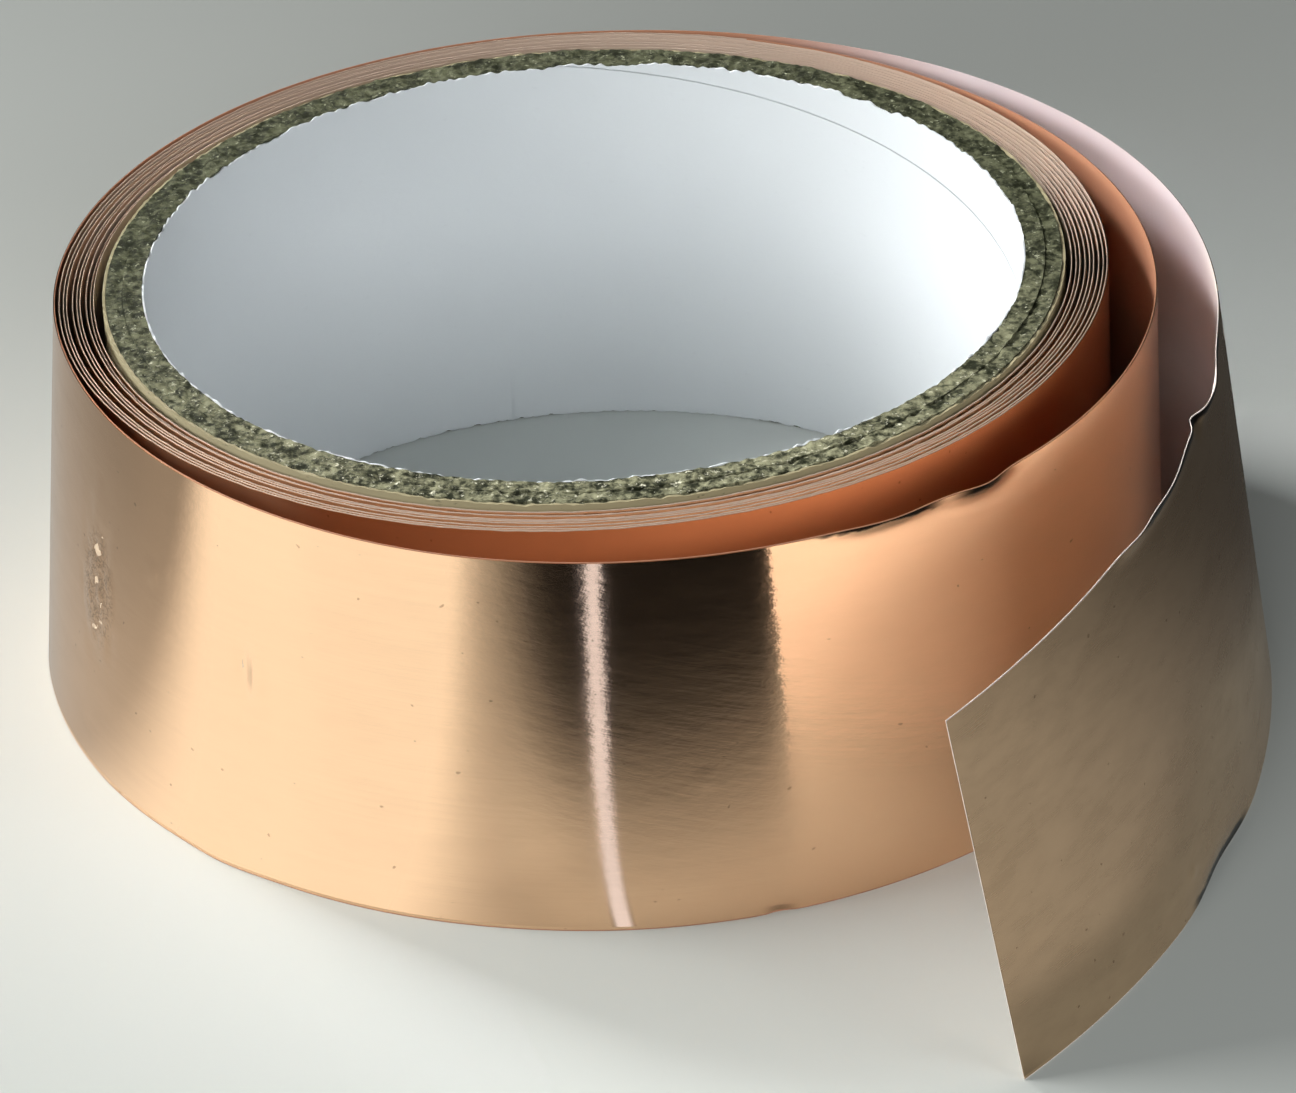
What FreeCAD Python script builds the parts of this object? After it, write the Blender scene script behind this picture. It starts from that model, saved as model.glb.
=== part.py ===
import FreeCAD, Part
import math
import os

import Sketcher

# Roll of copper foil tape with its free end pulled off, in millimetres.
#
# The origin is on the core's axis, in the plane that the roll stands on. +Z is up the axis. The tape
# is one strip of three webs (foil, adhesive, release liner), wound with the copper face outwards.
# An angle along the strip is in degrees about the axis. It grows inwards along the strip, which is
# counter-clockwise seen from above, and goes on past 360 so that each turn has angles of its own.

SIZES = [
    # core: a spiral-wound paper tube, ply by ply from the bore outwards
    ("core_bore_radius", 38.1),
    ("core_length", 36.0),
    ("lining_thickness", 0.4),
    ("inner_board_thickness", 1.4),
    ("outer_board_thickness", 1.4),
    ("wrap_thickness", 0.25),
    ("glue_line", 0.05),
    # patch of double-sided tape that holds the first turn on the core
    ("start_tab_thickness", 0.1),
    ("start_tab_width", 30.0),
    ("start_tab_arc", 35.0),
    ("tab_clearance", 0.05),
    # webs of the tape
    ("foil_width", 35.0),
    ("foil_thickness", 0.08),
    ("adhesive_thickness", 0.06),
    ("liner_thickness", 0.1),
    ("liner_overhang", 0.15),
    ("adhesive_setback", 0.15),
    ("bond_line", 0.045),
    ("turn_gap", 0.06),
    # tight windings
    ("wound_half_turns", 18),
    ("pack_end_angle", 430.0),
    # first loose turn: how far it bulges off the pack, and how far its lower edge flares
    ("bulge_height", 6.1),
    ("bulge_angle", 300.0),
    ("bulge_rise", 112.0),
    ("bulge_fall", 125.0),
    ("flare_height", 3.0),
    ("flare_angle", 185.0),
    ("flare_rise", 100.0),
    ("flare_fall", 120.0),
    # outer loose turn, which swings off the roll towards the free end and leans over it
    ("tail_angle", -15.0),
    ("departure_sweep", 100.0),
    ("departure_height", 9.6),
    ("departure_lean", 4.3),
    # free end, in three stretches that bend against each other
    ("tail_root_length", 23.0),
    ("tail_mid_length", 22.5),
    ("tail_tip_length", 22.5),
    ("tail_top_radius", 125.0),
    ("tail_bottom_radius", 104.0),
    ("hinge_gap", 0.7),
    # end of the liner, which peels off the adhesive
    ("flap_length", 13.5),
    ("peel_gap", 0.3),
]

HALF_TURN = 180.0
FULL_TURN = 360.0
# the outer turn leaves the roll as this power of the angle: gently at first, then faster
DEPARTURE_POWER = 1.5
# spacing of the points that the loose strip's curves pass through
TURN_STEP = 8.0
TAIL_STEP = 4.0
HEADING_STEP = 0.5


def make_sheet(doc):
    """The spreadsheet that holds every driving size, one alias to a row."""
    sheet = doc.addObject("Spreadsheet::Sheet", "Sizes")
    for row, (alias, size) in enumerate(SIZES, start=1):
        sheet.set(f"A{row}", alias)
        sheet.set(f"B{row}", str(size))
        sheet.setAlias(f"B{row}", alias)
    doc.recompute()
    return sheet


def origin_plane(body, role):
    """One of a body's own origin planes, found by its role."""
    return next(f for f in body.Origin.OriginFeatures if f.Role == role)


# --- core -------------------------------------------------------------------------------------


def core_ply(doc, name, inner_radius, thickness):
    """A tube of the core: a padded ring, whose inner radius and thickness are sheet expressions."""
    body = doc.addObject("PartDesign::Body", name)
    sketch = body.newObject("Sketcher::SketchObject", name + "_ring")
    sketch.AttachmentSupport = [(origin_plane(body, "XY_Plane"), "")]
    sketch.MapMode = "FlatFace"
    centre = FreeCAD.Vector(0, 0, 0)
    upward = FreeCAD.Vector(0, 0, 1)
    for size in (f"({inner_radius})", f"({inner_radius} + {thickness})"):
        circle = sketch.addGeometry(Part.Circle(centre, upward, 1.0), False)
        sketch.addConstraint(Sketcher.Constraint("Coincident", circle, 3, -1, 1))
        radius = sketch.addConstraint(Sketcher.Constraint("Radius", circle, 1.0))
        sketch.setExpression(f"Constraints[{radius}]", size)
    pad = body.newObject("PartDesign::Pad", name + "_pad")
    pad.Profile = sketch
    pad.setExpression("Length", "Sizes.core_length")
    return body


def start_tab(doc):
    """The patch under the first turn: a sector of a thin ring on the core's wrap, at mid height."""
    shells = []
    outer = f"{TAB_INNER} + Sizes.start_tab_thickness"
    for name, radius in (("tab_outer", outer), ("tab_inner", TAB_INNER)):
        shell = doc.addObject("Part::Cylinder", name)
        shell.setExpression("Radius", radius)
        shell.setExpression("Height", "Sizes.start_tab_width")
        shells.append(shell)
    shells[0].setExpression("Angle", "Sizes.start_tab_arc")
    tab = doc.addObject("Part::Cut", "core_start_tab")
    tab.Base = shells[0]
    tab.Tool = shells[1]
    tab.setExpression("Placement.Base.z", "(Sizes.core_length - Sizes.start_tab_width) / 2")
    tab.setExpression("Placement.Rotation.Angle", "Sizes.pack_end_angle - Sizes.start_tab_arc")
    return tab


# Radii as sheet expressions, each ply starting one glue line outside the last.
BORE = "Sizes.core_bore_radius"
LINING = "Sizes.lining_thickness"
INNER_BOARD = f"{BORE} + {LINING} + Sizes.glue_line"
OUTER_BOARD = f"{INNER_BOARD} + Sizes.inner_board_thickness + Sizes.glue_line"
WRAP = f"{OUTER_BOARD} + Sizes.outer_board_thickness + Sizes.glue_line"
CORE_OUTER = f"{WRAP} + Sizes.wrap_thickness"
TAB_INNER = f"{CORE_OUTER} + Sizes.tab_clearance"


# --- tape: where the strip runs -----------------------------------------------------------------


def bump(angle, centre, rise, fall):
    """A smooth bump of height 1 at an angle: rise before it and fall after it, then 0."""
    away = angle - centre
    reach = fall if away > 0 else rise
    if abs(away) >= reach:
        return 0.0
    return math.cos(math.pi / 2 * away / reach) ** 2


class Strip:
    """The path of the tape. A depth is measured inwards from the copper face, a height from z = 0."""

    def __init__(self, sheet):
        for alias, _ in SIZES:
            setattr(self, alias, float(sheet.get(alias)))
        plies = self.lining_thickness + self.inner_board_thickness + self.outer_board_thickness
        core_outer = self.core_bore_radius + plies + self.wrap_thickness + 3 * self.glue_line
        webs = self.foil_thickness + self.adhesive_thickness + self.liner_thickness
        self.stack = webs + 2 * self.bond_line
        self.pitch = self.stack + self.turn_gap
        self.first_radius = core_outer + 2 * self.tab_clearance + self.start_tab_thickness + self.stack
        self.pack_start_angle = self.pack_end_angle + HALF_TURN * self.wound_half_turns
        self.tail_length = self.tail_root_length + self.tail_mid_length + self.tail_tip_length

    def spiral_radius(self, angle):
        """The copper face's radius, where the turns lie one on the other."""
        return self.first_radius + self.pitch * (self.pack_start_angle - angle) / FULL_TURN

    def loose_radius(self, angle, height):
        """The copper face's radius on the loose turns, which lean where the edges differ."""
        radius = self.spiral_radius(angle)
        radius += self.bulge_height * bump(angle, self.bulge_angle, self.bulge_rise, self.bulge_fall)
        left = max(self.tail_angle + self.departure_sweep - angle, 0.0) / self.departure_sweep
        radius += self.departure_height * left**DEPARTURE_POWER
        flare = self.flare_height * bump(angle, self.flare_angle, self.flare_rise, self.flare_fall)
        lean = self.departure_lean * left**DEPARTURE_POWER
        return radius + (flare + lean) * (1 - height / self.foil_width)

    def loose_point(self, angle, height, depth):
        """A point of the loose turns."""
        radius = self.loose_radius(angle, height) - depth
        turn = math.radians(angle)
        return FreeCAD.Vector(radius * math.cos(turn), radius * math.sin(turn), height)

    def tail_edge_point(self, distance, height, radius, depth):
        """A point of an arc that leaves the outer turn along its tangent and curls over the roll."""
        start = self.loose_point(self.tail_angle, height, 0)
        before = self.loose_point(self.tail_angle + HEADING_STEP, height, 0)
        heading = (start - before).normalize()
        inward = FreeCAD.Vector(heading.y, -heading.x, 0)
        turned = distance / radius
        return (
            start
            + inward * (radius - (radius - depth) * math.cos(turned))
            + heading * ((radius - depth) * math.sin(turned))
        )

    def tail_point(self, distance, height, depth):
        """A point of the free end: its rulings run straight from the lower edge to the upper one."""
        low = self.tail_edge_point(distance, 0, self.tail_bottom_radius, depth)
        high = self.tail_edge_point(distance, self.foil_width, self.tail_top_radius, depth)
        return low + (high - low) * (height / self.foil_width)


# --- tape: its webs -------------------------------------------------------------------------------


def webs_of(strip):
    """Each web's name, its nearer and further face as depths, and its lower and upper edge."""
    foil_top = strip.liner_overhang + strip.foil_width
    adhesive = strip.foil_thickness + strip.bond_line
    liner = adhesive + strip.adhesive_thickness + strip.bond_line
    adhesive_foot = strip.liner_overhang + strip.adhesive_setback
    adhesive_top = foil_top - strip.adhesive_setback
    return {
        "foil": (0.0, strip.foil_thickness, strip.liner_overhang, foil_top),
        "adhesive": (adhesive, adhesive + strip.adhesive_thickness, adhesive_foot, adhesive_top),
        "liner": (liner, strip.stack, 0.0, foil_top + strip.liner_overhang),
    }


def spiral_edges(strip, depth, height):
    """Half circles about two centres by turns, which make a spiral of constant pitch."""
    edges = []
    ends = []
    for turn in range(int(strip.wound_half_turns) + 1):
        angle = math.radians(strip.pack_start_angle - HALF_TURN * turn)
        radius = strip.spiral_radius(math.degrees(angle)) - depth
        ends.append(FreeCAD.Vector(radius * math.cos(angle), radius * math.sin(angle), height))
    for turn, (start, end) in enumerate(zip(ends, ends[1:])):
        middle_angle = math.radians(strip.pack_start_angle - HALF_TURN * (turn + 0.5))
        reach = (end - start).Length / 2
        outward = FreeCAD.Vector(math.cos(middle_angle), math.sin(middle_angle), 0)
        edges.append(Part.Arc(start, (start + end) / 2 + outward * reach, end).toShape())
    return edges


def wound_web(strip, near, far, low, high):
    """A web of the tight windings: a spiral band, raised straight up."""
    outer = spiral_edges(strip, near, low)
    inner = spiral_edges(strip, far, low)
    caps = [
        Part.makeLine(outer[0].firstVertex().Point, inner[0].firstVertex().Point),
        Part.makeLine(outer[-1].lastVertex().Point, inner[-1].lastVertex().Point),
    ]
    outline = Part.Wire(Part.__sortEdges__(outer + inner + caps))
    return Part.Face(outline).extrude(FreeCAD.Vector(0, 0, high - low))


def stations(start, end, step):
    """Evenly spaced values from start to end, about a step apart."""
    count = max(2, math.ceil(abs(end - start) / step))
    return [start + (end - start) * n / count for n in range(count + 1)]


def section(point_at, places, near, far, height):
    """A web's outline at one height: curves through its outer and inner points, one edge to a step."""
    sides = []
    for depth in (near, far):
        points = [point_at(place, height, depth) for place in places]
        knots = [float(n) for n in range(len(points))]
        curve = Part.BSplineCurve()
        curve.interpolate(Points=points, Parameters=knots)
        sides.append([curve.toShape(low, high) for low, high in zip(knots, knots[1:])])
    outer, inner = sides
    first = Part.makeLine(inner[0].firstVertex().Point, outer[0].firstVertex().Point)
    last = Part.makeLine(outer[-1].lastVertex().Point, inner[-1].lastVertex().Point)
    return Part.Wire([first, *outer, last, *reversed(inner)])


def ruled_web(point_at, places, near, far, low, high):
    """A web whose walls are ruled from its lower outline to its upper one."""
    outlines = [section(point_at, places, near, far, height) for height in (low, high)]
    return Part.makeLoft(outlines, True, True)


def add_web(doc, name, shape):
    """A named feature that holds a web's shape."""
    feature = doc.addObject("Part::Feature", name)
    feature.Shape = shape
    feature.Placement = FreeCAD.Placement()
    return feature


def tape(doc, strip):
    """Every web of every stretch of the strip, from the core to the free end."""
    loose = stations(strip.tail_angle, strip.pack_end_angle, TURN_STEP)
    root_end = strip.tail_root_length
    mid_end = root_end + strip.tail_mid_length
    stretches = {
        "tail_root": (strip.hinge_gap, root_end),
        "tail_mid": (root_end + strip.hinge_gap, mid_end),
        "tail_tip": (mid_end + strip.hinge_gap, strip.tail_length),
    }
    parts = []
    for web, (near, far, low, high) in webs_of(strip).items():
        parts.append(add_web(doc, f"wound_{web}", wound_web(strip, near, far, low, high)))
        loose_shape = ruled_web(strip.loose_point, loose, near, far, low, high)
        parts.append(add_web(doc, f"loose_turn_{web}", loose_shape))
        for stretch, (start, end) in stretches.items():
            if stretch == "tail_tip" and web == "liner":
                end -= strip.flap_length + strip.peel_gap
            places = stations(start, end, TAIL_STEP)
            shape = ruled_web(strip.tail_point, places, near, far, low, high)
            parts.append(add_web(doc, f"{stretch}_{web}", shape))
    near, far, low, high = webs_of(strip)["liner"]
    flap = stations(strip.tail_length - strip.flap_length, strip.tail_length, TAIL_STEP)
    shape = ruled_web(strip.tail_point, flap, near, far, low, high)
    parts.append(add_web(doc, "liner_peel_flap", shape))
    return parts


# --- document ----------------------------------------------------------------------------------------


def check(doc, parts):
    """Stops if any object failed, or if a sub-part has no valid solid of its own."""
    for item in doc.Objects:
        if "Invalid" in item.State or "Error" in item.State:
            raise RuntimeError(f"{item.Label} failed: {item.State}")
    for part in parts:
        if part.Shape.isNull() or not part.Shape.isValid():
            raise RuntimeError(f"{part.Label} has no valid shape")
        if len(part.Shape.Solids) != 1 or part.Shape.Volume <= 0:
            raise RuntimeError(f"{part.Label} isn't one solid")


def main():
    """Builds the document and writes one STEP file for each sub-part."""
    doc = FreeCAD.newDocument("CopperFoilTapeRoll")
    strip = Strip(make_sheet(doc))
    parts = [
        core_ply(doc, "core_lining_ply", BORE, LINING),
        core_ply(doc, "core_board_ply_inner", INNER_BOARD, "Sizes.inner_board_thickness"),
        core_ply(doc, "core_board_ply_outer", OUTER_BOARD, "Sizes.outer_board_thickness"),
        core_ply(doc, "core_wrap_ply", WRAP, "Sizes.wrap_thickness"),
        start_tab(doc),
    ]
    parts += tape(doc, strip)
    doc.recompute()
    check(doc, parts)
    os.makedirs("parts", exist_ok=True)
    for part in parts:
        part.Shape.exportStep(f"parts/{part.Label}.step")
        box = part.Shape.BoundBox
        print(f"{part.Label}: {part.Shape.Volume:.1f} mm3, z {box.ZMin:.2f} to {box.ZMax:.2f}")


main()
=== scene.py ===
"""Looks of a roll of copper foil tape whose loose end has been pulled off.

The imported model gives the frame: every size below that isn't a finish or a light matches the model's
own sizes, in metres, with +Z up the core's axis. The tape is one strip, and a place on it is its run
(metres along it from the free end's cut edge), its height and its depth behind the copper face.
"""

import logging
import math
from dataclasses import dataclass
from enum import Enum
from typing import Callable

import bpy
import numpy as np
from mathutils import Matrix, Vector, noise

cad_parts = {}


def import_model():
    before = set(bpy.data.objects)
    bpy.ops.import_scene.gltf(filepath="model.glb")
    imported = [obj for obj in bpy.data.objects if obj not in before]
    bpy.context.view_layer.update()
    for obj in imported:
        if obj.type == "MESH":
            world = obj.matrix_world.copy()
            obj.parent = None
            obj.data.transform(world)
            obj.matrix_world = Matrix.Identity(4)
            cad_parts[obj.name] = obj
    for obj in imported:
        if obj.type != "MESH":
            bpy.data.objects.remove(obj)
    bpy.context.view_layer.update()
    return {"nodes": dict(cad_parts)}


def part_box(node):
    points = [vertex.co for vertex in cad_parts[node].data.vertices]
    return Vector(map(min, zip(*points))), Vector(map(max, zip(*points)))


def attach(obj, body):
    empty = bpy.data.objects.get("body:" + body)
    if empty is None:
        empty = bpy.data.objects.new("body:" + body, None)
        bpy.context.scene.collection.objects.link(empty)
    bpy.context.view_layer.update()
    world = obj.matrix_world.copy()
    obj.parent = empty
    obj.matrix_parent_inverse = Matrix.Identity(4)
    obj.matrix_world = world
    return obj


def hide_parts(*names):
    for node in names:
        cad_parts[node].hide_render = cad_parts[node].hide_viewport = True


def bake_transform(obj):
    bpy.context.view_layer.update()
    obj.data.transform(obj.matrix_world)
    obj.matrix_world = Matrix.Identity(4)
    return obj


MM = 0.001
LOG = logging.getLogger("copper_foil_tape_roll")
STRIP_MAP = "strip"

Triple = tuple[float, float, float]
Colour = Triple
Socket = bpy.types.NodeSocket


# --- node graphs ---------------------------------------------------------------------------------


class Val:
    """A number that varies over a surface: a node's output socket with Python's arithmetic."""

    def __init__(self, graph: "Graph", socket: Socket) -> None:
        """Wraps a socket of a graph."""
        self.graph = graph
        self.socket = socket

    def maths(self, operation: str, *others: "Val | float") -> "Val":
        """Adds one Math node.

        Args:
            operation: The node's operation, such as MULTIPLY.
            others: The operands after this one.

        Returns:
            The node's result.
        """
        values = dict(enumerate((self, *others)))
        return self.graph.value("ShaderNodeMath", {"operation": operation}, values)

    def __add__(self, other: "Val | float") -> "Val":
        """Sum."""
        return self.maths("ADD", other)

    __radd__ = __add__

    def __sub__(self, other: "Val | float") -> "Val":
        """Difference."""
        return self.maths("SUBTRACT", other)

    def __rsub__(self, other: float) -> "Val":
        """Difference from a plain number."""
        return (self * -1.0) + other

    def __mul__(self, other: "Val | float") -> "Val":
        """Product."""
        return self.maths("MULTIPLY", other)

    __rmul__ = __mul__

    def __truediv__(self, other: "Val | float") -> "Val":
        """Quotient."""
        return self.maths("DIVIDE", other)

    def __pow__(self, other: "Val | float") -> "Val":
        """Power."""
        return self.maths("POWER", other)

    def between(self, low: float, high: float) -> "Val":
        """Rises smoothly from 0 at low to 1 at high.

        Args:
            low: Where the result leaves 0.
            high: Where the result reaches 1. It may be the smaller of the two.

        Returns:
            The smooth step.
        """
        settings = {"interpolation_type": "SMOOTHSTEP"}
        if low < high:
            return self.graph.value("ShaderNodeMapRange", settings, {"Value": self, 1: low, 2: high})
        inputs = {"Value": self, 1: high, 2: low, 3: 1.0, 4: 0.0}
        return self.graph.value("ShaderNodeMapRange", settings, inputs)

    def clipped(self) -> "Val":
        """The value held between 0 and 1."""
        return self.maths("MAXIMUM", 0.0).maths("MINIMUM", 1.0)


class Graph:
    """The node tree of one material, with a Principled shader at its end."""

    def __init__(self, name: str) -> None:
        """Makes an empty material with the shader and its output.

        Args:
            name: The material's name.
        """
        self.material = bpy.data.materials.new(name)
        self.material.use_nodes = True
        self.tree = self.material.node_tree
        self.tree.nodes.clear()
        self.shader = self.node("ShaderNodeBsdfPrincipled")
        end = self.node("ShaderNodeOutputMaterial")
        self.tree.links.new(self.shader.outputs["BSDF"], end.inputs["Surface"])

    def node(
        self, kind: str, settings: dict | None = None, inputs: dict | None = None
    ) -> bpy.types.Node:
        """Adds any node.

        Args:
            kind: The node's type.
            settings: Its properties, set first. The key stops holds a ramp's positions and colours.
            inputs: Plain values or links, by socket name or number.

        Returns:
            The new node.
        """
        made = self.tree.nodes.new(kind)
        for key, setting in (settings or {}).items():
            if key == "stops":
                self._set_stops(made.color_ramp, setting)
            else:
                setattr(made, key, setting)
        for key, given in (inputs or {}).items():
            self.join(given, made.inputs[key])
        return made

    @staticmethod
    def _set_stops(ramp: bpy.types.ColorRamp, stops: list[tuple[float, Colour]]) -> None:
        """Gives a ramp its stops, in order.

        Args:
            ramp: The ramp.
            stops: Each stop's position and colour.
        """
        while len(ramp.elements) < len(stops):
            ramp.elements.new(0.5)
        for element, (position, colour) in zip(ramp.elements, stops):
            element.position = position
            element.color = (*colour, 1.0)

    def join(self, given: "Val | Socket | float | tuple", socket: Socket) -> None:
        """Links or sets one input socket.

        Args:
            given: A link's source, or a plain value.
            socket: The input that gets it.
        """
        if isinstance(given, Val):
            self.tree.links.new(given.socket, socket)
        elif isinstance(given, bpy.types.NodeSocket):
            self.tree.links.new(given, socket)
        elif isinstance(given, tuple) and socket.type == "RGBA":
            socket.default_value = (*given, 1.0)
        else:
            socket.default_value = given

    def value(
        self, kind: str, settings: dict | None = None, inputs: dict | None = None, out: int = 0
    ) -> Val:
        """Adds a node and wraps one of its outputs as a number."""
        return Val(self, self.node(kind, settings, inputs).outputs[out])

    def set(self, **inputs: "Val | Socket | float | tuple") -> None:
        """Sets or links the shader's sockets, each named with underscores for spaces."""
        for key, given in inputs.items():
            self.join(given, self.shader.inputs[key.replace("_", " ")])

    def mix(self, amount: Val, first: Colour | Socket, second: Colour | Socket) -> Socket:
        """Blends two colours by a number."""
        inputs = {"Factor": amount, 6: first, 7: second}
        return self.node("ShaderNodeMix", {"data_type": "RGBA"}, inputs).outputs[2]

    def object_place(self) -> Socket:
        """The point in the model's frame, in metres."""
        return self.node("ShaderNodeTexCoord").outputs["Object"]

    def strip_place(self) -> Socket:
        """The place on the strip: its run and height in metres, from the strip's own map."""
        return self.node("ShaderNodeUVMap", {"uv_map": STRIP_MAP}).outputs["UV"]

    def scaled(self, place: Socket, scale: Triple) -> Socket:
        """A place stretched by a scale along each axis."""
        inputs = {"Vector": place, "Scale": scale}
        return self.node("ShaderNodeMapping", {}, inputs).outputs["Vector"]

    def noise(self, place: Socket, scale: Triple, detail: float = 3.0, rough: float = 0.55) -> Val:
        """Smooth noise whose grain is scale times finer than a metre along each axis.

        Args:
            place: Where the noise is read.
            scale: How much finer than a metre the grain is along each axis.
            detail: How many finer octaves it has.
            rough: How strong the finer octaves are.

        Returns:
            The noise, around 0.5.
        """
        stretched = self.scaled(place, scale)
        inputs = {"Vector": stretched, "Scale": 1.0, "Detail": detail, "Roughness": rough}
        return self.value("ShaderNodeTexNoise", {}, inputs)

    def part_of(self, place: Socket, axis: str) -> Val:
        """One component of a place."""
        split = self.node("ShaderNodeSeparateXYZ", {}, {"Vector": place})
        return Val(self, split.outputs[axis])

    def bump(self, height: Val, depth: float, after: Socket | None = None) -> Socket:
        """A normal bent by a height that is depth metres from lowest to highest.

        Args:
            height: The height, from 0 to 1.
            depth: What a height of 1 stands for.
            after: The normal that this one is laid on.

        Returns:
            The bent normal.
        """
        inputs = {"Height": height, "Distance": depth, "Strength": 1.0}
        if after is not None:
            inputs["Normal"] = after
        return self.node("ShaderNodeBump", {}, inputs).outputs["Normal"]


# --- finishes ------------------------------------------------------------------------------------


@dataclass(frozen=True)
class CopperFinish:
    """Rolled copper foil, a half mirror brushed along the strip."""

    name: str
    colour: Colour = (0.955, 0.625, 0.395)
    tarnish_colour: Colour = (0.42, 0.27, 0.16)
    tarnish: float = 0.12
    roughness: float = 0.145
    brushing: float = 1.0
    streak_colour: Colour = (0.88, 0.55, 0.34)
    painted_dark_reflection_colour: Colour = (0.02, 0.014, 0.01)
    free_end_colour: Colour = (0.84, 0.59, 0.37)
    free_end_tarnish: float = 0.66
    free_end_roughness: float = 0.1
    free_end_run: float = 84.0 * MM
    bright_run: float = 125.0 * MM
    patch_run: float = 256.0 * MM
    patch_height: float = 18.0 * MM
    patch_along: float = 4.0 * MM
    patch_up: float = 6.45 * MM
    front_from: float = 300.0 * MM
    front_to: float = 370.0 * MM
    front_fade: float = 20.0 * MM
    wave_depth: float = 0.02 * MM
    crumple_depth: float = 0.12 * MM
    wrinkle_depth: float = 0.006 * MM
    grit_depth: float = 0.008 * MM
    streak_depth: float = 0.0008 * MM
    painted_reflection_spans: tuple[tuple[float, float, float, float], ...] = (
        # where a curled edge gets a painted dark reflection: from one run to another, from an edge's
        # height to where the curl ends
        (0.033, 0.066, 0.0347, 0.0342),
        (0.340, 0.3455, 0.0349, 0.0343),
        (0.327, 0.339, 0.035, 0.0347),
        (0.029, 0.045, 0.0006, 0.0011),
        (0.3227, 0.3243, 0.0005, 0.0009),
    )

    def make(self) -> bpy.types.Material:
        """Builds the material.

        Returns:
            The copper, its streaks running along the strip.
        """
        graph = Graph(self.name)
        place = graph.strip_place()
        streaks = graph.noise(place, (18.0, 9000.0, 1.0), 2.0)
        scuffs = graph.noise(place, (160.0, 420.0, 1.0), 4.0, 0.62)
        clouds = graph.noise(place, (38.0, 70.0, 1.0), 3.0)
        specks = graph.noise(place, (1000.0, 1200.0, 1.0), 1.0).between(0.75, 0.78)
        run = graph.part_of(place, "X")
        # Towards the free end the copper is darker, more tarnished and rougher.
        near_free_end = run.between(self.bright_run, self.free_end_run)
        tarnish = near_free_end * (self.free_end_tarnish - self.tarnish) + self.tarnish
        dull = (scuffs.between(0.35, 0.75) * 0.3 + clouds.between(0.3, 0.75) * 0.4) * tarnish
        beside = (run - self.patch_run) / self.patch_along
        above = (graph.part_of(place, "Y") - self.patch_height) / self.patch_up
        patch = (beside * beside + above * above).between(1.0, 0.3)
        crumple = graph.noise(place, (1000.0, 1000.0, 1.0), 4.0, 0.65)
        # Painted shade: the crinkled patch darkens towards the tarnish colour along its creases. The
        # sum below also holds the real tarnish and specks.
        crease_shade = patch * (crumple - 0.5).maths("ABSOLUTE").between(0.03, 0.005)
        wear_and_painted_light = (dull + specks * 0.6 + crease_shade * 0.6).clipped()
        base = graph.mix(near_free_end, self.colour, self.free_end_colour)
        lively = graph.mix(streaks.between(0.3, 0.7) * 0.2, base, self.streak_colour)
        # Painted reflection: the curled edges get a near-black base colour.
        painted_curl_reflection = self._painted_curl_reflections(graph, place)
        dulled = graph.mix(wear_and_painted_light, lively, self.tarnish_colour)
        graph.set(
            Base_Color=graph.mix(painted_curl_reflection, dulled, self.painted_dark_reflection_colour),
            Metallic=1.0,
            Roughness=streaks * 0.04
            + scuffs * 0.04
            + wear_and_painted_light * 0.1
            + near_free_end * self.free_end_roughness
            + (self.roughness - 0.04),
            Anisotropic=self.brushing,
            Anisotropic_Rotation=0.25,
        )
        slant = graph.node("ShaderNodeMapping", {}, {"Vector": place, "Rotation": (0.0, 0.0, 0.3)})
        wrinkles = graph.noise(slant.outputs["Vector"], (110.0, 1100.0, 1.0), 3.0, 0.6)
        grit = graph.noise(place, (700.0, 900.0, 1.0), 3.0, 0.6)
        waves = graph.bump(clouds, self.wave_depth)
        crumpled = graph.bump(crumple * patch, self.crumple_depth, waves)
        entering = run.between(self.front_from, self.front_from + self.front_fade)
        front = entering * run.between(self.front_to, self.front_to - self.front_fade)
        creased = graph.bump(wrinkles * (front * 1.6 + 1.0), self.wrinkle_depth, crumpled)
        ragged = graph.bump(grit * (front * 0.8 + 1.0), self.grit_depth, creased)
        graph.set(Normal=graph.bump(streaks, self.streak_depth, ragged))
        return graph.material

    def _painted_curl_reflections(self, graph: Graph, place: Socket) -> Val:
        """Where the foil's edge has curled over: a painted reflection of the dark, a near-black base
        colour.

        Args:
            graph: The material's graph.
            place: The place on the strip.

        Returns:
            1 on a curl, 0 off it.
        """
        run = graph.part_of(place, "X")
        height = graph.part_of(place, "Y")
        ragged = (graph.noise(place, (260.0, 500.0, 1.0), 3.0) - 0.5) * 0.0016
        painted_curl_reflection = ragged * 0.0
        for start, end, edge, inner in self.painted_reflection_spans:
            along = run.between(start - 1.0 * MM, start + 2.0 * MM)
            along = along * run.between(end + 1.0 * MM, end - 2.0 * MM)
            painted_curl_reflection = painted_curl_reflection + along * (height + ragged).between(inner, edge)
        return painted_curl_reflection.clipped()


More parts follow.
